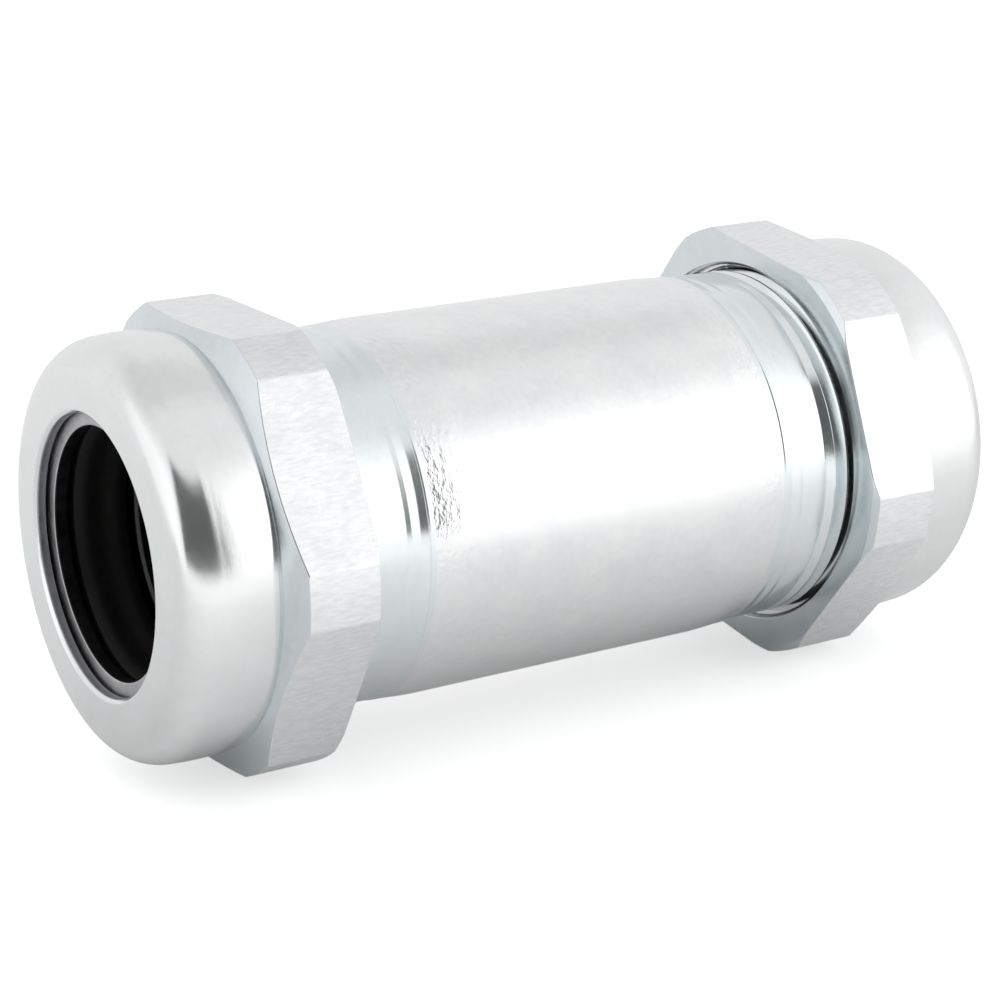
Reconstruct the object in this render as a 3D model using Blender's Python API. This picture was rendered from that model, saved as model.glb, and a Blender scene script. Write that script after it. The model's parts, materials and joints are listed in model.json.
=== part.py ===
"""Compression coupling for 3/4 in rigid conduit.

A heavy-wall steel tube with a thread on each end joins two plain-ended lengths of conduit. At each end
a domed hex nut pushes a steel washer, a rubber sealing ring and a split clamping ring into the tapered
mouth of the tube, round the conduit.

Metres, +Z up. X runs along the bore, and the origin is the middle of the whole fitting. The constants are
in millimetres. Each end is built in its own frame: X = 0 at the tip of the tube, +X inwards along the bore.
"""

import math

import bmesh
import bpy
from mathutils import Matrix

MM = 0.001
SEGMENTS = 32  # flats round a turned surface, and steps in one turn of thread
OVERSHOOT = 2.0  # how far a cutter runs past the surface it cuts
SNAP = 0.02  # a thread's point this near the end of its stretch moves to the end
GAP = 0.35  # clearance between neighbouring pieces of the gland when the nut is tight

# Tube
TUBE_R = 21.08  # 1-1/4 in pipe outside
TUBE_BORE_R = 16.23
BARREL_LENGTH = 46.8  # the plain middle, between the two shoulders
END_LENGTH = 17.06  # from a shoulder to the tip of the tube
NECK_PROFILE = (  # (distance outwards from the shoulder, radius)
    (-4.5, TUBE_R),  # the barrel falls off a little before its shoulder
    (-1.6, 20.98),
    (-0.9, 20.88),
    (-0.3, 20.87),
    (0.8, 20.7),  # foot of the shoulder
    (1.8, 20.69),  # a last small step down to the crests of the thread
    (2.4, 20.62),
)
SEAT_MOUTH_R = 18.2
SEAT_SLOPE = 0.29  # radius lost per length along the tapered seat
TIP_CHAMFER = 1.2
STOP_R = 11.4  # bore of the ring in the middle that each conduit butts against
STOP_HALF_WIDTH = 1.5
STOP_CHAMFER = 0.6

# Thread, 14 turns per inch. A groove on the tube has its middle at the tip of the tube, on the Y axis
PITCH = 25.4 / 14
FLANK_SLOPE = math.tan(math.radians(30))
TUBE_CREST_R = NECK_PROFILE[-1][1]
TUBE_ROOT_R = 19.26
NUT_CREST_R = 19.87
NUT_ROOT_R = 21.27
THREAD_END = 11.46  # from the tip of the tube
RUN_OUT_SLOPE = 0.85  # depth lost per length where the thread runs out on the neck

# Gland nut, from its front face
NUT_LENGTH = 20.43
NUT_MOUTH_R = 15.12
NUT_MOUTH_BEVEL = 0.4
NUT_LIP = 1.3
NUT_FACE_R = 19.12
DOME_R = 22.9
DOME_ROUND_LENGTH = 4.26
DOME_STEPS = 5
DOME_END = 10.25
GROOVE_R = 22.5
GROOVE_X = 10.45
HEX_FLAT_R = 23.8  # half of the 1-7/8 in spanner size
HEX_CORNER_R = 25.9
HEX_FRONT = 11.95
HEX_BACK_CHAMFER = (0.5, 0.9)
CAVITY_R = 19.3
CAVITY_END = 8.8
NUT_RELIEF_R = 21.3
NUT_RELIEF_LENGTH = 1.5
NUT_COUNTERSINK_R = 21.7
NUT_COUNTERSINK = 0.4
TIGHT_NECK = 5.86  # bare neck left between the shoulder and a tight nut
TIGHT_FRONT = END_LENGTH - TIGHT_NECK - NUT_LENGTH  # front of a tight nut, from the tip of the tube

# Pieces inside the nut
GLAND_BORE_R = 13.6  # passes a 26.7 mm conduit
WASHER_R = 18.9
WASHER_LENGTH = 1.6
WASHER_CHAMFER = 0.25
SEALING_R = 18.9
SEALING_LENGTH = 6.35
SEALING_TAPER_START = 3.95
SEALING_NOSE_R = 17.3
SEALING_EDGE = 0.4
SEALING_LIP = 0.45  # depth of the groove between the two lips in the bore
SEALING_LIP_LENGTH = 1.2  # from each end of the ring to the crest of its lip
CLAMP_LENGTH = 5.0
CLAMP_R = 17.55
CLAMP_CHAMFER = 0.4
CLAMP_SLIT = 2.0

# How far each nut stands back from tight, and which way its hexagon lies
LEFT_TURNS_BACK = 1.25
RIGHT_TURNS_BACK = 1.65
LEFT_HEX_DEGREES = 0.0
RIGHT_HEX_DEGREES = -8.6
SEALING_SHARE = 0.8  # share of the nut's travel that the sealing ring makes
CLAMP_SHARE = 0.6  # and that the clamping ring makes

ZINC = (0.80, 0.81, 0.82)
WASHER_STEEL = (0.55, 0.56, 0.57)
SPRING_STEEL = (0.42, 0.42, 0.43)
RUBBER = (0.02, 0.02, 0.022)


def clear_scene():
    for obj in list(bpy.data.objects):
        bpy.data.objects.remove(obj, do_unlink=True)


def make_material(name, colour, metallic, roughness):
    material = bpy.data.materials.new(name)
    material.use_nodes = True
    shader = material.node_tree.nodes["Principled BSDF"]
    shader.inputs["Base Color"].default_value = (*colour, 1.0)
    shader.inputs["Metallic"].default_value = metallic
    shader.inputs["Roughness"].default_value = roughness
    return material


def make_empty(name, x, turn_degrees):
    empty = bpy.data.objects.new(name, None)
    empty.location.x = x * MM
    empty.rotation_euler.z = math.radians(turn_degrees)
    bpy.context.scene.collection.objects.link(empty)
    return empty


def make_object(name, bm, material=None, parent=None, x=0.0):
    """Makes a bmesh a named object whose origin lies on the bore's axis, at x in its parent's frame."""
    bmesh.ops.recalc_face_normals(bm, faces=bm.faces)
    mesh = bpy.data.meshes.new(name)
    bm.to_mesh(mesh)
    bm.free()
    mesh.shade_smooth()
    mesh.set_sharp_from_angle(angle=math.radians(30))
    obj = bpy.data.objects.new(name, mesh)
    obj.parent = parent
    obj.location.x = x * MM
    if material:
        mesh.materials.append(material)
    bpy.context.scene.collection.objects.link(obj)
    return obj


def lathe(outline):
    """Turns an outline about X. outline(turn) gives its closed loop of (x, radius) points at that share of a
    full turn, always as many of them, and outline(1) runs on into outline(0)."""
    bm = bmesh.new()
    made = {}

    def vertex(step, x, r):
        step %= SEGMENTS
        key = (step, round(x, 4), round(r, 4))
        if key not in made:
            angle = math.tau * step / SEGMENTS
            made[key] = bm.verts.new((x * MM, r * math.cos(angle) * MM, r * math.sin(angle) * MM))
        return made[key]

    for step in range(SEGMENTS):
        near = [vertex(step, x, r) for x, r in outline(step / SEGMENTS)]
        far = [vertex(step + 1, x, r) for x, r in outline((step + 1) / SEGMENTS)]
        for i in range(len(near)):
            corners = list(dict.fromkeys((near[i - 1], near[i], far[i], far[i - 1])))
            if len(corners) > 2:
                bm.faces.new(corners)
    return bm


def thread_points(start, end, groove_at, crest_r, root_r, turn):
    """A V thread's (x, radius) points from start to end, at one share of a turn, for a right-hand thread with
    a groove at groove_at when turn is 0. Points of the grooves beyond either end gather at that end."""
    height = crest_r - root_r
    half_width = abs(height) * FLANK_SLOPE
    points = []
    first = math.floor((start - groove_at) / PITCH) - 2
    last = math.ceil((end - groove_at) / PITCH) + 1
    for groove in range(first, last + 1):
        for offset in (-half_width, 0, half_width):
            x = groove_at + (groove + turn) * PITCH + offset
            x = start if x < start + SNAP else end if x > end - SNAP else x
            from_groove = abs((x - groove_at - turn * PITCH + PITCH / 2) % PITCH - PITCH / 2)
            points.append((x, root_r + height * min(from_groove / half_width, 1)))
    return points


def cut(obj, cutter, operation="DIFFERENCE"):
    cutter.hide_render = True
    cutter.display_type = "WIRE"
    boolean = obj.modifiers.new(cutter.name, "BOOLEAN")
    boolean.operation = operation
    boolean.object = cutter


def quarter_round(x0, r0, x1, r1, steps):
    """Points of a quarter ellipse that leaves (x0, r0) square to the axis and reaches (x1, r1) along it."""
    angles = [math.pi / 2 * i / steps for i in range(steps + 1)]
    return [(x0 + (x1 - x0) * (1 - math.cos(a)), r0 + (r1 - r0) * math.sin(a)) for a in angles]


def tube_half_profile():
    """Half of the tube without its thread, as two lists of (distance from the middle, radius): outside from
    the barrel to the neck, then inside from the tip to the stop."""
    half = BARREL_LENGTH / 2 + END_LENGTH
    shoulder = BARREL_LENGTH / 2
    seat_depth = (SEAT_MOUTH_R - TUBE_BORE_R) / SEAT_SLOPE
    outside = [(shoulder + distance, r) for distance, r in NECK_PROFILE]
    inside = [
        (half, SEAT_MOUTH_R),
        (half - seat_depth, TUBE_BORE_R),
        (STOP_HALF_WIDTH, TUBE_BORE_R),
        (STOP_HALF_WIDTH, STOP_R + STOP_CHAMFER),
        (STOP_HALF_WIDTH - STOP_CHAMFER, STOP_R),
    ]
    return outside, inside


def tube_outline(turn):
    half = BARREL_LENGTH / 2 + END_LENGTH

    def tube_thread(start, end, groove_at):
        """The thread between its chamfered tip and its run-out, which both limit its radius."""
        points = thread_points(start, end, groove_at, TUBE_CREST_R, TUBE_ROOT_R, turn)
        limited = []
        for x, r in points:
            from_tip = half - abs(x)
            run_out = TUBE_CREST_R - (THREAD_END - from_tip) * RUN_OUT_SLOPE
            chamfer = TUBE_CREST_R - TIP_CHAMFER + from_tip
            limited.append((x, min(max(r, run_out), chamfer)))
        return limited

    outside, inside = tube_half_profile()
    left_outside = [(-distance, r) for distance, r in reversed(outside)]
    left_inside = [(-distance, r) for distance, r in reversed(inside)]
    left_thread = tube_thread(-half, THREAD_END - half, -half)
    right_thread = tube_thread(half - THREAD_END, half, half - PITCH / 2)  # the left end turned half round
    return left_thread + left_outside + outside + right_thread + inside + left_inside


def nut_outline(thread_phase):
    """Outline of the nut as (distance from its front face, radius), before the hexagon is cut.
    thread_phase is where the tube has a groove's middle, on the nut's own Y axis."""
    chamfer_length, chamfer_height = HEX_BACK_CHAMFER
    thread_end = NUT_LENGTH - NUT_RELIEF_LENGTH
    outside = [
        (0, NUT_MOUTH_R + NUT_MOUTH_BEVEL),
        *quarter_round(0, NUT_FACE_R, DOME_ROUND_LENGTH, DOME_R, DOME_STEPS),
        (DOME_END, DOME_R),
        (GROOVE_X, GROOVE_R),
        (HEX_FRONT, HEX_CORNER_R),
        (NUT_LENGTH - chamfer_length, HEX_CORNER_R),
        (NUT_LENGTH, HEX_CORNER_R - chamfer_height),
        (NUT_LENGTH, NUT_COUNTERSINK_R),
        (NUT_LENGTH - NUT_COUNTERSINK, NUT_RELIEF_R),
        (thread_end, NUT_RELIEF_R),
    ]
    inside = [
        (CAVITY_END, CAVITY_R),
        (NUT_LIP, CAVITY_R),
        (NUT_LIP, NUT_MOUTH_R),
        (NUT_MOUTH_BEVEL, NUT_MOUTH_R),
    ]

    def outline(turn):
        # The nut's grooves hold the tube's ridges, half a pitch from the tube's grooves.
        groove_at = thread_phase + PITCH / 2
        thread = thread_points(CAVITY_END, thread_end, groove_at, NUT_CREST_R, NUT_ROOT_R, turn)
        return outside + thread[::-1] + inside

    return outline


def make_nut(name, end, turns_back, hex_degrees, material):
    """Gland nut whose hexagon has corners on its own Y axis, so two of its flats face up and down."""
    front = TIGHT_FRONT - turns_back * PITCH
    thread_phase = PITCH * hex_degrees / 360 - front
    nut = make_object(name, lathe(nut_outline(thread_phase)), material, end, front)
    nut.rotation_euler.x = math.radians(hex_degrees)

    corner = HEX_FLAT_R / math.cos(math.pi / 6)
    bm = bmesh.new()
    bmesh.ops.create_cone(
        bm,
        cap_ends=True,
        segments=6,
        radius1=corner * MM,
        radius2=corner * MM,
        depth=(NUT_LENGTH + 2 * OVERSHOOT) * MM,
        matrix=Matrix.Translation((NUT_LENGTH / 2 * MM, 0, 0)) @ Matrix.Rotation(math.pi / 2, 4, "Y"),
    )
    cut(nut, make_object(name + "_hexagon", bm, parent=nut), "INTERSECT")


def make_washer(name, end, x, material):
    near, far = WASHER_CHAMFER, WASHER_LENGTH - WASHER_CHAMFER
    outside = [
        (0, WASHER_R - WASHER_CHAMFER),
        (near, WASHER_R),
        (far, WASHER_R),
        (WASHER_LENGTH, WASHER_R - WASHER_CHAMFER),
    ]
    inside = [
        (WASHER_LENGTH, GLAND_BORE_R + WASHER_CHAMFER),
        (far, GLAND_BORE_R),
        (near, GLAND_BORE_R),
        (0, GLAND_BORE_R + WASHER_CHAMFER),
    ]
    return make_object(name, lathe(lambda turn: outside + inside), material, end, x)


def make_sealing_ring(name, end, x, material):
    """Rubber ring, cylindrical towards the washer and tapered towards the tube, with two lips in its bore."""
    outside = [
        (0, SEALING_R - SEALING_EDGE),
        (SEALING_EDGE, SEALING_R),
        (SEALING_TAPER_START, SEALING_R),
        (SEALING_LENGTH, SEALING_NOSE_R),
    ]
    inside = [
        (SEALING_LENGTH, GLAND_BORE_R + SEALING_LIP),
        (SEALING_LENGTH - SEALING_LIP_LENGTH, GLAND_BORE_R),
        (SEALING_LENGTH / 2, GLAND_BORE_R + SEALING_LIP),
        (SEALING_LIP_LENGTH, GLAND_BORE_R),
        (0, GLAND_BORE_R + SEALING_LIP),
    ]
    return make_object(name, lathe(lambda turn: outside + inside), material, end, x)


def make_clamp_ring(name, end, x, material):
    """Steel ring with the taper of the tube's seat outside, slit at the top so that it can close."""
    inner_end_r = CLAMP_R - SEAT_SLOPE * CLAMP_LENGTH
    outside = [
        (0, CLAMP_R - CLAMP_CHAMFER),
        (CLAMP_CHAMFER, CLAMP_R - SEAT_SLOPE * CLAMP_CHAMFER),
        (CLAMP_LENGTH, inner_end_r),
    ]
    inside = [
        (CLAMP_LENGTH, GLAND_BORE_R + CLAMP_CHAMFER),
        (CLAMP_LENGTH - CLAMP_CHAMFER, GLAND_BORE_R),
        (CLAMP_CHAMFER, GLAND_BORE_R),
        (0, GLAND_BORE_R + CLAMP_CHAMFER),
    ]
    ring = make_object(name, lathe(lambda turn: outside + inside), material, end, x)
    bm = bmesh.new()
    bmesh.ops.create_cube(bm, size=MM)
    bmesh.ops.scale(bm, verts=bm.verts, vec=(CLAMP_LENGTH + 2 * OVERSHOOT, CLAMP_SLIT, CLAMP_R))
    bmesh.ops.translate(bm, verts=bm.verts, vec=(CLAMP_LENGTH / 2 * MM, 0, CLAMP_R * MM))
    cut(ring, make_object(name + "_slit", bm, parent=ring))
    return ring


def make_gland(side, end, turns_back, hex_degrees, materials):
    """The nut and the three pieces it pushes. Backing it off spreads them by their shares of its travel."""
    back = turns_back * PITCH
    washer_x = TIGHT_FRONT + NUT_LIP + GAP
    sealing_x = washer_x + WASHER_LENGTH + GAP
    clamp_x = sealing_x + SEALING_LENGTH + GAP
    make_nut(side + "_gland_nut", end, turns_back, hex_degrees, materials["zinc"])
    make_washer(side + "_thrust_washer", end, washer_x - back, materials["washer"])
    make_sealing_ring(side + "_sealing_ring", end, sealing_x - SEALING_SHARE * back, materials["rubber"])
    make_clamp_ring(side + "_clamp_ring", end, clamp_x - CLAMP_SHARE * back, materials["spring"])


def main():
    clear_scene()
    materials = {
        "zinc": make_material("bright_zinc", ZINC, 1.0, 0.25),
        "washer": make_material("washer_steel", WASHER_STEEL, 1.0, 0.35),
        "spring": make_material("spring_steel", SPRING_STEEL, 1.0, 0.4),
        "rubber": make_material("black_rubber", RUBBER, 0.0, 0.6),
    }
    centre_x = (LEFT_TURNS_BACK - RIGHT_TURNS_BACK) * PITCH / 2  # puts the origin midway between the nuts
    half = BARREL_LENGTH / 2 + END_LENGTH
    left = make_empty("left_end", centre_x - half, 0)
    right = make_empty("right_end", centre_x + half, 180)
    make_object("coupling_body", lathe(tube_outline), materials["zinc"], x=centre_x)
    make_gland("left", left, LEFT_TURNS_BACK, LEFT_HEX_DEGREES, materials)
    make_gland("right", right, RIGHT_TURNS_BACK, RIGHT_HEX_DEGREES, materials)


main()
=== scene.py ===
"""Looks of a compression coupling for 3/4 in rigid conduit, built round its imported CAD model.

Every piece is turned afresh on the CAD part's sizes, with finer steps and rounded edges, and goes where its
CAD node is. Sizes are in millimetres. Each end of the coupling has its own frame: X = 0 at the outer end of
the piece, +X inwards along the bore, so the right end is the left one turned half round about Z.
"""

import json
import math

import bmesh
import bpy
from mathutils import Matrix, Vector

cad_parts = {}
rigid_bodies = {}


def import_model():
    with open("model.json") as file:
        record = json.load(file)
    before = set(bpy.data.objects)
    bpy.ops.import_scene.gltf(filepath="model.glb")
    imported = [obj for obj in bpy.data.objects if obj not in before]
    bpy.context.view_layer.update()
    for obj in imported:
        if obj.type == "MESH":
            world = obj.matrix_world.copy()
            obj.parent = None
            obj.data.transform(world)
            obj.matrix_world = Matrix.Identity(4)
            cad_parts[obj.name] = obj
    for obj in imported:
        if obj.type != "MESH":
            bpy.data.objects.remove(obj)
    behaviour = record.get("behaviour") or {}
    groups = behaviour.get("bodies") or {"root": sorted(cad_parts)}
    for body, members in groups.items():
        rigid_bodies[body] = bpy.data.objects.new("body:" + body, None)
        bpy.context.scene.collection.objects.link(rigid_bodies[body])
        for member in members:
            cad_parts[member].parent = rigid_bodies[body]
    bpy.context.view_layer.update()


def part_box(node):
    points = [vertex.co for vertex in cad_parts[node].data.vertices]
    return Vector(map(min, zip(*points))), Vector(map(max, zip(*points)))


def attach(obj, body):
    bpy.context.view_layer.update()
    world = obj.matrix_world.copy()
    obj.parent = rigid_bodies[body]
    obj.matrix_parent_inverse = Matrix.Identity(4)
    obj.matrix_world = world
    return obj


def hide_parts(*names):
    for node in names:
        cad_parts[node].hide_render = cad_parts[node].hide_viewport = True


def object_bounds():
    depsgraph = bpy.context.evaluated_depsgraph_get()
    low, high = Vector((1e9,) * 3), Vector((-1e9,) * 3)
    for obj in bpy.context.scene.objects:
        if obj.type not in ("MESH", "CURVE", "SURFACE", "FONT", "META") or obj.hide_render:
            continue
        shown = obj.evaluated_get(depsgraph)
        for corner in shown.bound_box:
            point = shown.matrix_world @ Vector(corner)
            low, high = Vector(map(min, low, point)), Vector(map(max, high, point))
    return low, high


MM = 0.001
ROUND_STEPS = 4  # segments in a rounded edge
TURNED_STEPS = 180

# Tube
TUBE_BORE_R = 16.23
BARREL_LENGTH = 46.8
END_LENGTH = 17.06
NECK_PROFILE = (  # (distance outwards from the shoulder, radius, rounding)
    (-4.6, 21.08, 0.5),
    (-2.6, 20.97, 0.6),
    (-1.5, 20.89, 0.3),
    (-0.9, 20.85, 0.1),
    (-0.34, 20.85, 0.03),
    (-0.24, 20.75, 0.03),  # a scored line round the shoulder
    (-0.14, 20.84, 0.03),
    (0.8, 20.7, 0.15),
    (1.8, 20.69, 0.08),
    (2.4, 20.62, 0.08),
)
NECK_FROM = -0.9  # the barrel's finish ends here
DENTS_FROM = (17.0, 21.5)  # from the middle: where the barrel's dents start, and where they are deepest
SEAT_MOUTH_R = 18.2
SEAT_SLOPE = 0.29
TIP_CHAMFER = 1.2
STOP_R = 11.4
STOP_HALF_WIDTH = 1.5
STOP_CHAMFER = 0.6

# Thread
PITCH = 25.4 / 14
FLANK_SLOPE = math.tan(math.radians(30))
SNAP = 0.02
TUBE_CREST_R = NECK_PROFILE[-1][1]
TUBE_ROOT_R = 19.26
NUT_CREST_R = 19.87
NUT_ROOT_R = 21.27
THREAD_END = 11.46
RUN_OUT_SLOPE = 0.85

# Gland nut
NUT_LENGTH = 20.43
NUT_MOUTH_R = 15.12
NUT_MOUTH_BEVEL = 0.4
NUT_LIP = 1.3
NUT_FACE_R = 19.12
DOME_R = 22.9
DOME_ROUND_LENGTH = 4.26
DOME_ROUND_R = 22.8  # where the round front of the dome runs into its gently crowned side
DOME_CROWN_X = 7.0
DOME_END = 10.25
DOME_END_R = 22.72
DOME_STEPS = 16
CROWN_STEPS = 6
GROOVE_R = 22.5
GROOVE_X = 10.45
HEX_FLAT_R = 23.8
HEX_CORNER_R = 25.9
HEX_FRONT = 11.95
HEX_BACK_LENGTH, HEX_BACK_HEIGHT = 0.5, 0.9
HEX_EDGE = 0.07  # least break on the back edge of the hexagon
HEX_SECTOR_STEPS = 30
HEX_EDGE_DEGREES = 0.45  # half of the rounded strip where a flat meets a truncated corner
CAVITY_R = 19.3
CAVITY_END = 8.8
NUT_RELIEF_R = 21.3
NUT_RELIEF_LENGTH = 1.5
NUT_COUNTERSINK_R = 21.7
NUT_COUNTERSINK = 0.4
HEX_DEGREES = {"left": 0.0, "right": -8.6}

# Pieces inside the nut
GLAND_BORE_R = 13.6
DULL_DEPTH = 0.1  # how far outside the bore its dull finish reaches; in the rings' bores that finish is a painted shade
WASHER_R = 18.9
WASHER_LENGTH = 1.6
SEALING_R = 18.9
SEALING_LENGTH = 6.35
SEALING_TAPER_START = 3.95
SEALING_NOSE_R = 17.3
SEALING_LIP = 0.45
SEALING_LIP_LENGTH = 1.2
CLAMP_LENGTH = 5.0
CLAMP_R = 17.55
CLAMP_CHAMFER = 0.4
CLAMP_SLIT = 2.0

# Turned finishes: name, dark and light colours, roughness, depth of lines, depth of mottle, seed, any dents
TURNED_FINISHES = {
    "barrel": ("barrel_zinc", (0.84, 0.845, 0.85), (0.91, 0.91, 0.91), 0.13, 0.0006, 0.005, 1.0, 0.09),
    "neck": ("neck_zinc", (0.79, 0.83, 0.835), (0.85, 0.88, 0.885), 0.16, 0.0008, 0.002, 4.0),
    "hex_ends": ("hex_end_zinc", (0.69, 0.735, 0.75), (0.75, 0.79, 0.805), 0.18, 0.0008, 0.003, 5.0),
    # the bore's near-black colours are painted shade for the shadowed inside of the tube and of the rings
    "bore": ("bore_zinc_painted_shade", (0.03, 0.03, 0.03), (0.06, 0.06, 0.06), 0.5, 0.001, 0.004, 6.0),
    "mouth": ("mouth_zinc", (0.42, 0.42, 0.44), (0.54, 0.54, 0.56), 0.5, 0.001, 0.004, 8.0),
    "nut": ("nut_zinc", (0.83, 0.84, 0.84), (0.88, 0.885, 0.885), 0.17, 0.0005, 0.003, 9.0),
    "washer": ("washer_steel", (0.46, 0.46, 0.47), (0.6, 0.6, 0.61), 0.42, 0.001, 0.004, 17.0),
    # the clamp's near-black colours are painted shade for the shadowed inside of the nut
    "clamp": ("clamp_steel", (0.05, 0.05, 0.052), (0.09, 0.09, 0.092), 0.45, 0.001, 0.005, 21.0),
}
FLATS_FINISH = ("flats_zinc", (0.79, 0.8, 0.81), (0.9, 0.9, 0.9), 13.0)  # name, dark, light, seed

# Which finish a face has, by how much it faces along the bore's axis, from 0 to 1
END_FACING = 0.3  # at least this: an end of the hexagon
FLAT_FACING = 0.1  # at most this: a flat of the hexagon
BORE_FACING = 0.8  # at most this: the bore of a ring
FLAT_MARGIN = 0.1  # how far inside a flat a face's middle may be

SHARP_DEGREES = 32  # edges sharper than this aren't smoothed

# Studio, in degrees. Azimuth 0 faces the front of the coupling (-Y), and +X is positive
TENT_FADE = (35.0, 60.0)  # elevations over which the tent dims towards its top
TENT_TOP = 0.87
BEHIND_FADE = (80.0, 125.0)  # azimuths over which it dims behind the coupling
BEHIND_LOSS = 0.14
KEY_AZIMUTH = (22, 70, 12)  # from, to, and how softly it ends
KEY_ELEVATION = (-12, 36, 9, 18)  # the same, and how softly it ends at the top
KEY_STRENGTH = 0.5
FILL_AZIMUTH = (-128, -72, 8)
FILL_ELEVATION = (-4, 34, 8)
FILL_STRENGTH = 0.2
OPENING_AZIMUTH = (-66, 19, 3)
OPENING_ELEVATION = (-4, 46, 4)
OPENING_DARKNESS = 0.88

# Floor
FLOOR_HALF_SIZE = 6.0  # metres
FLOOR_COLOUR = 0.88
FLOOR_NEAR, FLOOR_FAR = 15, 170  # distances from the bore's axis between which its reflected glow changes
GLOW_UNDER = 0.06
GLOW_IN_FRONT = 0.44
GLOW_BEHIND = 0.16
GLOW_SEEN = 0.55

# Camera
CAMERA_PLACE = (-0.1531, -0.2395, 0.0844)
CAMERA_AZIMUTH = -32.23
CAMERA_ELEVATION = 16.96
CAMERA_LENS = 93.4  # on a sensor 36 mm wide


# ---- Shapes ----


def rounded(outline):
    """Turns (x, radius, size) corners into points, each corner of some size into a short curve."""
    points = []
    for i, (x, r, size) in enumerate(outline):
        if not size:
            points.append((x, r))
            continue
        ends = []
        for other_x, other_r, _ in (outline[i - 1], outline[(i + 1) % len(outline)]):
            share = min(size / math.hypot(other_x - x, other_r - r), 0.45)
            ends.append((x + (other_x - x) * share, r + (other_r - r) * share))
        for step in range(ROUND_STEPS + 1):
            t = step / ROUND_STEPS
            weights = ((1 - t) ** 2, 2 * t * (1 - t), t * t)
            corners = (ends[0], (x, r), ends[1])
            points.append(tuple(sum(w * c[k] for w, c in zip(weights, corners)) for k in (0, 1)))
    return points


def lathe(outline, turns):
    """Turns an outline about X. outline(turn) gives its closed loop of (x, radius) points at that share of a
    full turn, always as many of them, and outline(1) runs on into outline(0)."""
    bm = bmesh.new()
    rings = []
    for turn in [*turns, 1.0]:
        angle = math.tau * turn
        ring = [
            bm.verts.new((x * MM, r * math.cos(angle) * MM, r * math.sin(angle) * MM))
            for x, r in outline(turn)
        ]
        rings.append(ring)
    for near, far in zip(rings, rings[1:]):
        for i in range(len(near)):
            bm.faces.new((near[i - 1], near[i], far[i], far[i - 1]))
    bmesh.ops.remove_doubles(bm, verts=bm.verts, dist=1e-3 * MM)
    bmesh.ops.dissolve_degenerate(bm, edges=bm.edges, dist=1e-4 * MM)
    bmesh.ops.recalc_face_normals(bm, faces=bm.faces)
    return bm


def even_turns(steps):
    return [step / steps for step in range(steps)]


def hex_turns():
    """Shares of a turn that fall on the edges of the hexagon, whose corners are on Y."""
    half_corner = 30 - math.degrees(math.acos(HEX_FLAT_R / HEX_CORNER_R))
    edges = [half_corner - HEX_EDGE_DEGREES, half_corner, half_corner + HEX_EDGE_DEGREES]
    even = [60 * step / HEX_SECTOR_STEPS for step in range(HEX_SECTOR_STEPS)]
    special = edges + [60 - edge for edge in edges]
    clear = [angle for angle in even if all(abs(angle - edge) > HEX_EDGE_DEGREES for edge in special)]
    sector = special + clear
    return sorted((60 * side + angle) / 360 for side in range(6) for angle in sector)


def from_flat(turn):
    """Degrees between this share of a turn and the nearest middle of a flat."""
    return abs((turn * 360) % 60 - 30)


def hex_radius(turn):
    return min(HEX_FLAT_R / math.cos(math.radians(from_flat(turn))), HEX_CORNER_R)


def thread_points(start, end, groove_at, crest_r, root_r, turn):
    """A V thread's (x, radius) points from start to end, at one share of a turn, for a right-hand thread with
    a groove at groove_at when turn is 0. Points of the grooves beyond either end gather at that end."""
    height = crest_r - root_r
    half_width = abs(height) * FLANK_SLOPE
    points = []
    first = math.floor((start - groove_at) / PITCH) - 2
    last = math.ceil((end - groove_at) / PITCH) + 1
    for groove in range(first, last + 1):
        for offset in (-half_width, 0, half_width):
            x = groove_at + (groove + turn) * PITCH + offset
            x = start if x < start + SNAP else end if x > end - SNAP else x
            from_groove = abs((x - groove_at - turn * PITCH + PITCH / 2) % PITCH - PITCH / 2)
            points.append((x, root_r + height * min(from_groove / half_width, 1)))
    return points


def tube_outline():
    half = BARREL_LENGTH / 2 + END_LENGTH
    shoulder = BARREL_LENGTH / 2
    seat_depth = (SEAT_MOUTH_R - TUBE_BORE_R) / SEAT_SLOPE
    outside = [(shoulder + distance, r, size) for distance, r, size in NECK_PROFILE]
    inside = [
        (half, SEAT_MOUTH_R, 0),
        (half - seat_depth, TUBE_BORE_R, 0.5),
        (STOP_HALF_WIDTH, TUBE_BORE_R, 0.3),
        (STOP_HALF_WIDTH, STOP_R + STOP_CHAMFER, 0.1),
        (STOP_HALF_WIDTH - STOP_CHAMFER, STOP_R, 0.1),
    ]
    guard = (half - THREAD_END, TUBE_CREST_R, 0)

    def mirrored(corners):
        return [(-x, r, size) for x, r, size in reversed(corners)]

    shoulders = rounded([(-guard[0], *guard[1:]), *mirrored(outside), *outside, guard])[1:-1]
    bore = rounded([*inside, *mirrored(inside)])

    def limited(points):
        """The thread between its chamfered tip and its run-out, which both limit its radius."""
        result = []
        for x, r in points:
            from_tip = half - abs(x)
            run_out = TUBE_CREST_R - (THREAD_END - from_tip) * RUN_OUT_SLOPE
            chamfer = TUBE_CREST_R - TIP_CHAMFER + from_tip
            result.append((x, min(max(r, run_out), chamfer)))
        return result

    def outline(turn):
        left = thread_points(-half, THREAD_END - half, -half, TUBE_CREST_R, TUBE_ROOT_R, turn)
        right = thread_points(half - THREAD_END, half, half - PITCH / 2, TUBE_CREST_R, TUBE_ROOT_R, turn)
        return limited(left) + shoulders + limited(right) + bore

    return outline


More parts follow.
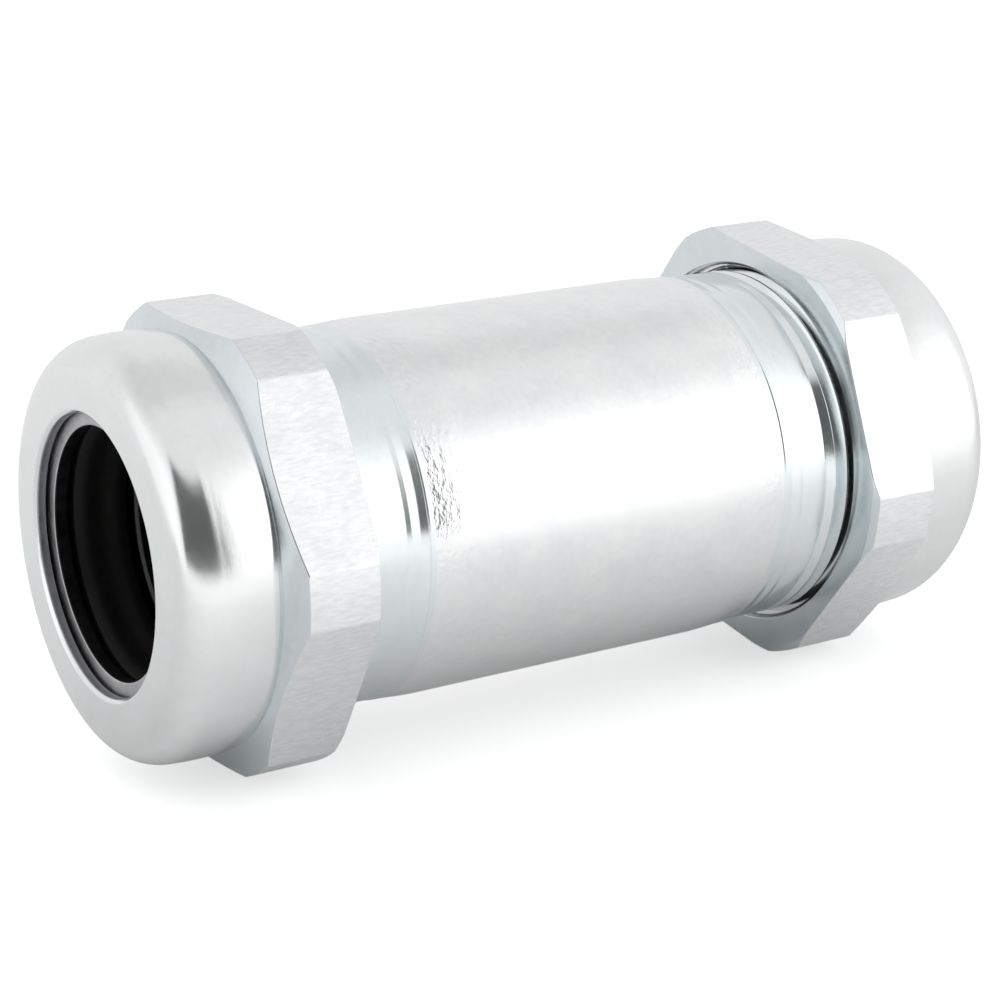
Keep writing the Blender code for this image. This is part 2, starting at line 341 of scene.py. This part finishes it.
def dome_points():
    """The nut's outside from its flat face to the groove before the hexagon: round in front, then crowned."""
    points = []
    for step in range(DOME_STEPS + 1):
        angle = math.pi / 2 * step / DOME_STEPS
        x = DOME_ROUND_LENGTH * (1 - math.cos(angle))
        points.append((x, NUT_FACE_R + (DOME_ROUND_R - NUT_FACE_R) * math.sin(angle), 0))
    for start_x, end_x, edge_r in (
        (DOME_ROUND_LENGTH, DOME_CROWN_X, DOME_ROUND_R),
        (DOME_END, DOME_CROWN_X, DOME_END_R),
    ):
        side = []
        for step in range(1, CROWN_STEPS + 1):
            t = step / CROWN_STEPS
            side.append((start_x + (end_x - start_x) * t, DOME_R - (DOME_R - edge_r) * (1 - t) ** 2, 0))
        points += side if start_x < end_x else [*reversed(side[:-1]), (start_x, edge_r, 0.12)]
    return points


def nut_outline(thread_phase):
    """Outline of the nut from its front face, at any share of a turn of its hexagon."""
    thread_end = NUT_LENGTH - NUT_RELIEF_LENGTH
    cone_slope = (HEX_FRONT - GROOVE_X) / (HEX_CORNER_R - GROOVE_R)
    back_r = HEX_CORNER_R - HEX_BACK_HEIGHT
    dome = dome_points()
    inside = [
        (CAVITY_END, CAVITY_R, 0.3),
        (NUT_LIP, CAVITY_R, 0.3),
        (NUT_LIP, NUT_MOUTH_R, 0.1),
        (NUT_MOUTH_BEVEL, NUT_MOUTH_R, 0.12),
        (0, NUT_MOUTH_R + NUT_MOUTH_BEVEL, 0.15),
    ]

    def outline(turn):
        r = hex_radius(turn)
        break_length = max(HEX_EDGE, HEX_BACK_LENGTH * (r - back_r) / HEX_BACK_HEIGHT)
        corners = [
            *inside[1:],
            *dome,
            (GROOVE_X, GROOVE_R, 0.05),
            (GROOVE_X + (r - GROOVE_R) * cone_slope, r, 0.1),
            (NUT_LENGTH - break_length, r, 0.05),
            (NUT_LENGTH, min(r - HEX_EDGE, back_r), 0.05),
            (NUT_LENGTH, NUT_COUNTERSINK_R, 0.08),
            (NUT_LENGTH - NUT_COUNTERSINK, NUT_RELIEF_R, 0.08),
            (thread_end, NUT_RELIEF_R, 0),
            inside[0],
        ]
        body = rounded(corners)
        groove_at = thread_phase + PITCH / 2
        thread = thread_points(CAVITY_END, thread_end, groove_at, NUT_CREST_R, NUT_ROOT_R, turn)
        return body[: -(ROUND_STEPS + 1)] + thread[::-1]

    return outline


def washer_outline(turn):
    return rounded(
        [
            (0, WASHER_R, 0.25),
            (WASHER_LENGTH, WASHER_R, 0.25),
            (WASHER_LENGTH, GLAND_BORE_R, 0.25),
            (0, GLAND_BORE_R, 0.25),
        ]
    )


def sealing_outline(turn):
    return rounded(
        [
            (0, SEALING_R, 0.6),
            (SEALING_TAPER_START, SEALING_R, 0.6),
            (SEALING_LENGTH, SEALING_NOSE_R, 0.5),
            (SEALING_LENGTH, GLAND_BORE_R + SEALING_LIP, 0.2),
            (SEALING_LENGTH - SEALING_LIP_LENGTH, GLAND_BORE_R, 0.5),
            (SEALING_LENGTH / 2, GLAND_BORE_R + SEALING_LIP, 0.8),
            (SEALING_LIP_LENGTH, GLAND_BORE_R, 0.5),
            (0, GLAND_BORE_R + SEALING_LIP, 0.2),
        ]
    )


def clamp_outline(turn):
    return rounded(
        [
            (0, CLAMP_R - CLAMP_CHAMFER, 0.1),
            (CLAMP_CHAMFER, CLAMP_R - SEAT_SLOPE * CLAMP_CHAMFER, 0.1),
            (CLAMP_LENGTH, CLAMP_R - SEAT_SLOPE * CLAMP_LENGTH, 0.1),
            (CLAMP_LENGTH, GLAND_BORE_R + CLAMP_CHAMFER, 0.1),
            (CLAMP_LENGTH - CLAMP_CHAMFER, GLAND_BORE_R, 0.1),
            (CLAMP_CHAMFER, GLAND_BORE_R, 0.1),
            (0, GLAND_BORE_R + CLAMP_CHAMFER, 0.1),
        ]
    )


def split_ring():
    """The clamping ring, open at the top. Its two ends are flat faces on either side of the slit."""
    half_slit = math.asin(CLAMP_SLIT / 2 / GLAND_BORE_R) / math.tau
    steps = TURNED_STEPS
    shares = [0.25 + half_slit + (1 - 2 * half_slit) * step / steps for step in range(steps + 1)]
    bm = bmesh.new()
    rings = []
    for share in shares:
        angle = math.tau * share
        ring = [
            bm.verts.new((x * MM, r * math.cos(angle) * MM, r * math.sin(angle) * MM))
            for x, r in clamp_outline(0)
        ]
        rings.append(ring)
    for near, far in zip(rings, rings[1:]):
        for i in range(len(near)):
            bm.faces.new((near[i - 1], near[i], far[i], far[i - 1]))
    bm.faces.new(rings[0])
    bm.faces.new(rings[-1])
    bmesh.ops.recalc_face_normals(bm, faces=bm.faces)
    return bm


# ---- Materials ----


def add(tree, kind, values=None, **settings):
    """A new shader node. values maps an input's name or number to a value or to the socket that feeds it."""
    node = tree.nodes.new("ShaderNode" + kind)
    for name, value in settings.items():
        setattr(node, name, value)
    for name, value in (values or {}).items():
        if isinstance(value, bpy.types.NodeSocket):
            tree.links.new(value, node.inputs[name])
        else:
            node.inputs[name].default_value = value
    return node


def calc(tree, operation, a, b=0.0, c=0.0):
    return add(tree, "Math", {0: a, 1: b, 2: c}, operation=operation).outputs[0]


def remap(tree, value, low, high, to_low, to_high, smooth=False):
    """Carries low..high to to_low..to_high, and holds the ends beyond them."""
    kind = "SMOOTHSTEP" if smooth else "LINEAR"
    values = {"Value": value, "From Min": low, "From Max": high, "To Min": to_low, "To Max": to_high}
    return add(tree, "MapRange", values, interpolation_type=kind).outputs["Result"]


def noise(tree, along, across, detail=2.0, seed=0.0):
    """Noise from 0 to 1 whose features are along millimetres long on the bore's axis and across wide."""
    coords = add(tree, "TexCoord").outputs["Object"]
    scale = (1 / (along * MM), 1 / (across * MM), 1 / (across * MM))
    scaled = add(tree, "VectorMath", {0: coords, 1: scale}, operation="MULTIPLY").outputs[0]
    moved = add(tree, "VectorMath", {0: scaled, 1: (seed, seed * 1.7, seed * 2.3)}).outputs[0]
    return add(tree, "TexNoise", {"Vector": moved, "Scale": 1.0, "Detail": detail}).outputs["Fac"]


def tinted(tree, low, high, share):
    """A colour between low and high."""
    mix = add(tree, "Mix", {"Factor": share}, data_type="RGBA")
    mix.inputs["A"].default_value = (*low, 1)
    mix.inputs["B"].default_value = (*high, 1)
    return mix.outputs["Result"]


def bumped(tree, layers):
    """A normal from (height, depth in millimetres) layers, each on top of the last."""
    normal = None
    for height, depth in layers:
        values = {"Height": height, "Distance": depth * MM, "Strength": 1.0}
        if normal is not None:
            values["Normal"] = normal
        normal = add(tree, "Bump", values).outputs["Normal"]
    return normal


def new_material(name):
    material = bpy.data.materials.new(name)
    material.use_nodes = True
    tree = material.node_tree
    return material, tree, tree.nodes["Principled BSDF"]


def feed(tree, shader, values):
    for name, value in values.items():
        if isinstance(value, bpy.types.NodeSocket):
            tree.links.new(value, shader.inputs[name])
        else:
            shader.inputs[name].default_value = value


def turned_metal(name, dark, light, roughness, line_depth, mottle_depth, seed, end_dents=0.0):
    """Plated metal off a lathe: fine lines round the axis, dapples, grain, and a finish that wanders.
    end_dents is the depth of small dents that gather at the ends of the barrel."""
    material, tree, shader = new_material(name)
    blotches = noise(tree, 5.0, 5.0, 3.0, seed)
    specks = noise(tree, 0.7, 0.9, 3.0, seed + 3)
    fine = noise(tree, 0.16, 14.0, 2.0, seed + 5)
    coarse = noise(tree, 0.6, 22.0, 2.0, seed + 7)
    dapples = noise(tree, 1.0, 2.4, 2.0, seed + 11)
    grain = noise(tree, 0.22, 0.26, 2.0, seed + 13)
    along = add(tree, "SeparateXYZ", {0: add(tree, "TexCoord").outputs["Object"]}).outputs["X"]
    near_end = remap(tree, calc(tree, "ABSOLUTE", along), *(x * MM for x in DENTS_FROM), 0.0, 1.0)
    dents = calc(tree, "MULTIPLY", noise(tree, 0.5, 0.9, 3.0, seed + 15), near_end)
    worn = calc(tree, "ADD", calc(tree, "MULTIPLY", blotches, 0.6), calc(tree, "MULTIPLY", specks, 0.4))
    feed(
        tree,
        shader,
        {
            "Base Color": tinted(tree, dark, light, remap(tree, worn, 0.35, 0.65, 0.0, 1.0)),
            "Metallic": 1.0,
            "Roughness": remap(tree, worn, 0.3, 0.7, roughness * 0.8, roughness * 1.25),
            "Anisotropic": 0.35,
            "Normal": bumped(
                tree,
                [
                    (dents, end_dents),
                    (dapples, mottle_depth * 2.0),
                    (specks, mottle_depth),
                    (coarse, line_depth * 2.0),
                    (fine, line_depth),
                    (grain, mottle_depth * 0.6),
                ],
            ),
            "Tangent": add(tree, "Tangent", direction_type="RADIAL", axis="X").outputs[0],
        },
    )
    return material


def milled_metal(name, dark, light, seed):
    """Plated bar stock: short grain along the axis, with small tears and a fine sparkle."""
    material, tree, shader = new_material(name)
    grain = noise(tree, 1.4, 0.3, 4.0, seed)
    tears = noise(tree, 1.3, 0.5, 3.0, seed + 2)
    blotches = noise(tree, 4.0, 4.0, 2.0, seed + 4)
    sparkle = noise(tree, 0.3, 0.24, 2.0, seed + 6)
    shade = calc(tree, "ADD", calc(tree, "MULTIPLY", grain, 0.6), calc(tree, "MULTIPLY", tears, 0.4))
    feed(
        tree,
        shader,
        {
            "Base Color": tinted(tree, dark, light, remap(tree, shade, 0.36, 0.6, 0.0, 1.0)),
            "Metallic": 1.0,
            "Roughness": remap(tree, blotches, 0.3, 0.7, 0.24, 0.36),
            "Normal": bumped(tree, [(tears, 0.022), (grain, 0.006), (sparkle, 0.006)]),
        },
    )
    return material


def rubber(name):
    material, tree, shader = new_material(name)
    dust = noise(tree, 0.5, 0.5, 3.0, 11.0)
    feed(
        tree,
        shader,
        {
            "Base Color": tinted(tree, (0.006, 0.006, 0.006), (0.016, 0.015, 0.014), dust),
            "Roughness": remap(tree, dust, 0.3, 0.7, 0.5, 0.68),
            "Specular IOR Level": 0.3,
            "Normal": bumped(tree, [(dust, 0.01)]),
        },
    )
    return material


# ---- Pieces ----


def make_piece(name, bm, matrix, materials, zone=None):
    """Places a bmesh as a finished object. zone gives a face's material number and whether it is smooth."""
    for face in bm.faces:
        face.smooth = True
        if zone:
            face.material_index, face.smooth = zone(face)
    bm.transform(matrix)
    mesh = bpy.data.meshes.new(name)
    bm.to_mesh(mesh)
    bm.free()
    for material in materials:
        mesh.materials.append(material)
    mesh.set_sharp_from_angle(angle=math.radians(SHARP_DEGREES))
    piece = bpy.data.objects.new(name, mesh)
    bpy.context.scene.collection.objects.link(piece)
    normals = piece.modifiers.new("even_normals", "WEIGHTED_NORMAL")
    normals.keep_sharp = True
    return piece


def hand_over(piece, node, body):
    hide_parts(node)
    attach(piece, body)


def nut_zone(face):
    """The hexagon's flats and corners are milled, its two ends are cut like the neck, the mouth is rough, and
    the rest is turned."""
    centre = face.calc_center_median() / MM
    radius = math.hypot(centre.y, centre.z)
    if radius > GROOVE_R and abs(face.normal.x) > END_FACING:
        return 2, True
    if radius < NUT_MOUTH_R + DULL_DEPTH:
        return 3, True
    if radius < HEX_FLAT_R - FLAT_MARGIN or abs(face.normal.x) > FLAT_FACING:
        return 0, True
    turn = math.atan2(centre.z, centre.y) / math.tau % 1
    edge = math.degrees(math.acos(HEX_FLAT_R / HEX_CORNER_R))
    return 1, from_flat(turn) > edge - HEX_EDGE_DEGREES


def tube_zone(face):
    """The barrel keeps its own finish, the necks have theirs, and the bore is dull and near black, a painted
    shade.
    """
    centre = face.calc_center_median() / MM
    if math.hypot(centre.y, centre.z) < SEAT_MOUTH_R:
        return 2, True
    return (0 if abs(centre.x) < BARREL_LENGTH / 2 + NECK_FROM else 1), True


def ring_zone(face):
    """The rings inside the nut are dull and near black where the conduit passes through them, a painted
    shade.
    """
    centre = face.calc_center_median() / MM
    in_bore = math.hypot(centre.y, centre.z) < GLAND_BORE_R + DULL_DEPTH and abs(face.normal.x) < BORE_FACING
    return (1 if in_bore else 0), True


def outer_end(node, side):
    """Where the outer end of a CAD node is on the bore's axis, in millimetres."""
    low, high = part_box(node)
    return (low.x if side == "left" else high.x) / MM


def end_matrix(side, x, degrees=0.0):
    """Carries a piece from its own frame to the end it belongs to."""
    half_turn = Matrix.Rotation(0 if side == "left" else math.pi, 4, "Z")
    return Matrix.Translation((x * MM, 0, 0)) @ half_turn @ Matrix.Rotation(math.radians(degrees), 4, "X")


def build_tube(materials):
    low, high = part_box("coupling_body")
    bm = lathe(tube_outline(), even_turns(TURNED_STEPS))
    place = Matrix.Translation(((low.x + high.x) / 2, 0, 0))
    # the bore's finish is a painted shade
    finishes = [materials[name] for name in ("barrel", "neck", "bore")]
    tube = make_piece("tube", bm, place, finishes, tube_zone)
    hand_over(tube, "coupling_body", "coupling")


def build_nut(side, materials):
    node = side + "_gland_nut"
    x = outer_end(node, side)
    tip = outer_end("coupling_body", side)
    front = (x - tip) if side == "left" else (tip - x)
    phase = PITCH * HEX_DEGREES[side] / 360 - front
    bm = lathe(nut_outline(phase), hex_turns())
    place = end_matrix(side, x, HEX_DEGREES[side])
    finishes = [materials[name] for name in ("nut", "flats", "hex_ends", "mouth")]
    nut = make_piece(side + "_nut", bm, place, finishes, nut_zone)
    hand_over(nut, node, side + "_nut")


def build_inner_rings(side, materials):
    turns = even_turns(TURNED_STEPS)
    rings = (
        ("washer", "thrust_washer", lathe(washer_outline, turns), "washer_steel"),
        ("seal", "sealing_ring", lathe(sealing_outline, turns), "black_rubber"),
        # the clamp's near-black finish is a painted shade
        ("clamp", "clamp_ring", split_ring(), "clamp_steel"),
    )
    for name, cad_name, bm, slot in rings:
        node = f"{side}_{cad_name}"
        place = end_matrix(side, outer_end(node, side))
        # the rings' bores take the bore's painted shade
        finishes = [materials[name], materials["seal" if name == "seal" else "bore"]]
        ring = make_piece(f"{side}_{name}", bm, place, finishes, ring_zone)
        hand_over(ring, node, f"{side}_{name}")


# ---- Studio ----


def window(tree, value, low, high, soft, soft_high=None):
    """1 between low and high, falling off over soft degrees on either side, or soft_high at the high end."""
    soft_high = soft_high or soft
    rise = remap(tree, value, low - soft, low + soft, 0.0, 1.0, smooth=True)
    fall = remap(tree, value, high - soft_high, high + soft_high, 1.0, 0.0, smooth=True)
    return calc(tree, "MULTIPLY", rise, fall)


def light_studio():
    """A white tent, brightest to the right of the camera, with a dark opening where the camera looks in."""
    world = bpy.data.worlds.new("studio")
    bpy.context.scene.world = world
    world.use_nodes = True
    tree = world.node_tree
    tree.nodes.clear()
    direction = add(tree, "SeparateXYZ", {0: add(tree, "TexCoord").outputs["Generated"]}).outputs
    towards_camera = calc(tree, "MULTIPLY", direction["Y"], -1.0)
    azimuth = calc(tree, "DEGREES", calc(tree, "ARCTAN2", direction["X"], towards_camera))
    elevation = calc(tree, "DEGREES", calc(tree, "ARCSINE", direction["Z"]))

    sides = remap(tree, elevation, *TENT_FADE, 1.0, TENT_TOP, smooth=True)
    backward = remap(tree, calc(tree, "ABSOLUTE", azimuth), *BEHIND_FADE, 0.0, 1.0, smooth=True)
    tent = calc(tree, "SUBTRACT", sides, calc(tree, "MULTIPLY", backward, BEHIND_LOSS))

    def patch(azimuths, elevations):
        across = window(tree, azimuth, *azimuths)
        return calc(tree, "MULTIPLY", across, window(tree, elevation, *elevations))

    bright = calc(tree, "MULTIPLY_ADD", patch(KEY_AZIMUTH, KEY_ELEVATION), KEY_STRENGTH, tent)
    bright = calc(tree, "MULTIPLY_ADD", patch(FILL_AZIMUTH, FILL_ELEVATION), FILL_STRENGTH, bright)
    dark_share = calc(tree, "MULTIPLY", patch(OPENING_AZIMUTH, OPENING_ELEVATION), OPENING_DARKNESS)
    strength = calc(tree, "MULTIPLY", bright, calc(tree, "SUBTRACT", 1.0, dark_share))

    light = add(tree, "Background", {"Color": (0.99, 0.995, 1.0, 1.0), "Strength": strength})
    plain = add(tree, "Background", {"Color": (1.0, 1.0, 1.0, 1.0), "Strength": 1.0})
    seen = add(tree, "LightPath").outputs["Is Camera Ray"]
    mix = add(tree, "MixShader", {0: seen, 1: light.outputs[0], 2: plain.outputs[0]})
    add(tree, "OutputWorld", {"Surface": mix.outputs[0]})


def lay_floor():
    """A pale floor under the coupling. What the metal reflects of it glows more in front than behind, and
    the camera sees it brighter still."""
    low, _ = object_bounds()
    size = FLOOR_HALF_SIZE
    mesh = bpy.data.meshes.new("floor")
    corners = [(-size, -size), (size, -size), (size, size), (-size, size)]
    mesh.from_pydata([(x, y, low[2]) for x, y in corners], [], [(0, 1, 2, 3)])
    floor = bpy.data.objects.new("floor", mesh)
    bpy.context.scene.collection.objects.link(floor)
    material = bpy.data.materials.new("floor")
    material.use_nodes = True
    tree = material.node_tree
    tree.nodes.clear()
    paper = add(tree, "BsdfDiffuse", {"Color": (FLOOR_COLOUR, FLOOR_COLOUR, FLOOR_COLOUR, 1.0)})
    seen = add(tree, "LightPath").outputs["Is Camera Ray"]
    across = add(tree, "SeparateXYZ", {0: add(tree, "TexCoord").outputs["Object"]}).outputs["Y"]
    in_front = remap(tree, across, -FLOOR_FAR * MM, -FLOOR_NEAR * MM, GLOW_IN_FRONT, GLOW_UNDER)
    at_the_back = remap(tree, across, FLOOR_NEAR * MM, FLOOR_FAR * MM, GLOW_UNDER, GLOW_BEHIND)
    reflected = calc(tree, "MAXIMUM", in_front, at_the_back)
    glow = add(tree, "Emission", {"Strength": remap(tree, seen, 0.0, 1.0, reflected, GLOW_SEEN)})
    both = add(tree, "AddShader", {0: paper.outputs[0], 1: glow.outputs[0]})
    add(tree, "OutputMaterial", {"Surface": both.outputs[0]})
    mesh.materials.append(material)


def place_camera():
    data = bpy.data.cameras.new("camera")
    data.sensor_fit = "HORIZONTAL"
    data.sensor_width = 36.0
    data.lens = CAMERA_LENS
    data.clip_start = 0.01
    data.clip_end = 50.0
    camera = bpy.data.objects.new("camera", data)
    camera.location = CAMERA_PLACE
    camera.rotation_euler = (math.radians(90 - CAMERA_ELEVATION), 0, math.radians(CAMERA_AZIMUTH))
    bpy.context.scene.collection.objects.link(camera)
    bpy.context.scene.camera = camera


def main():
    for obj in list(bpy.data.objects):
        bpy.data.objects.remove(obj, do_unlink=True)
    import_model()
    materials = {name: turned_metal(*finish) for name, finish in TURNED_FINISHES.items()}
    materials["flats"] = milled_metal(*FLATS_FINISH)
    materials["seal"] = rubber("seal_rubber")
    build_tube(materials)
    for side in ("left", "right"):
        build_nut(side, materials)
        build_inner_rings(side, materials)
    light_studio()
    place_camera()
    bpy.context.scene.view_settings.view_transform = "Standard"
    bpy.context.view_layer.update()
    lay_floor()


main()
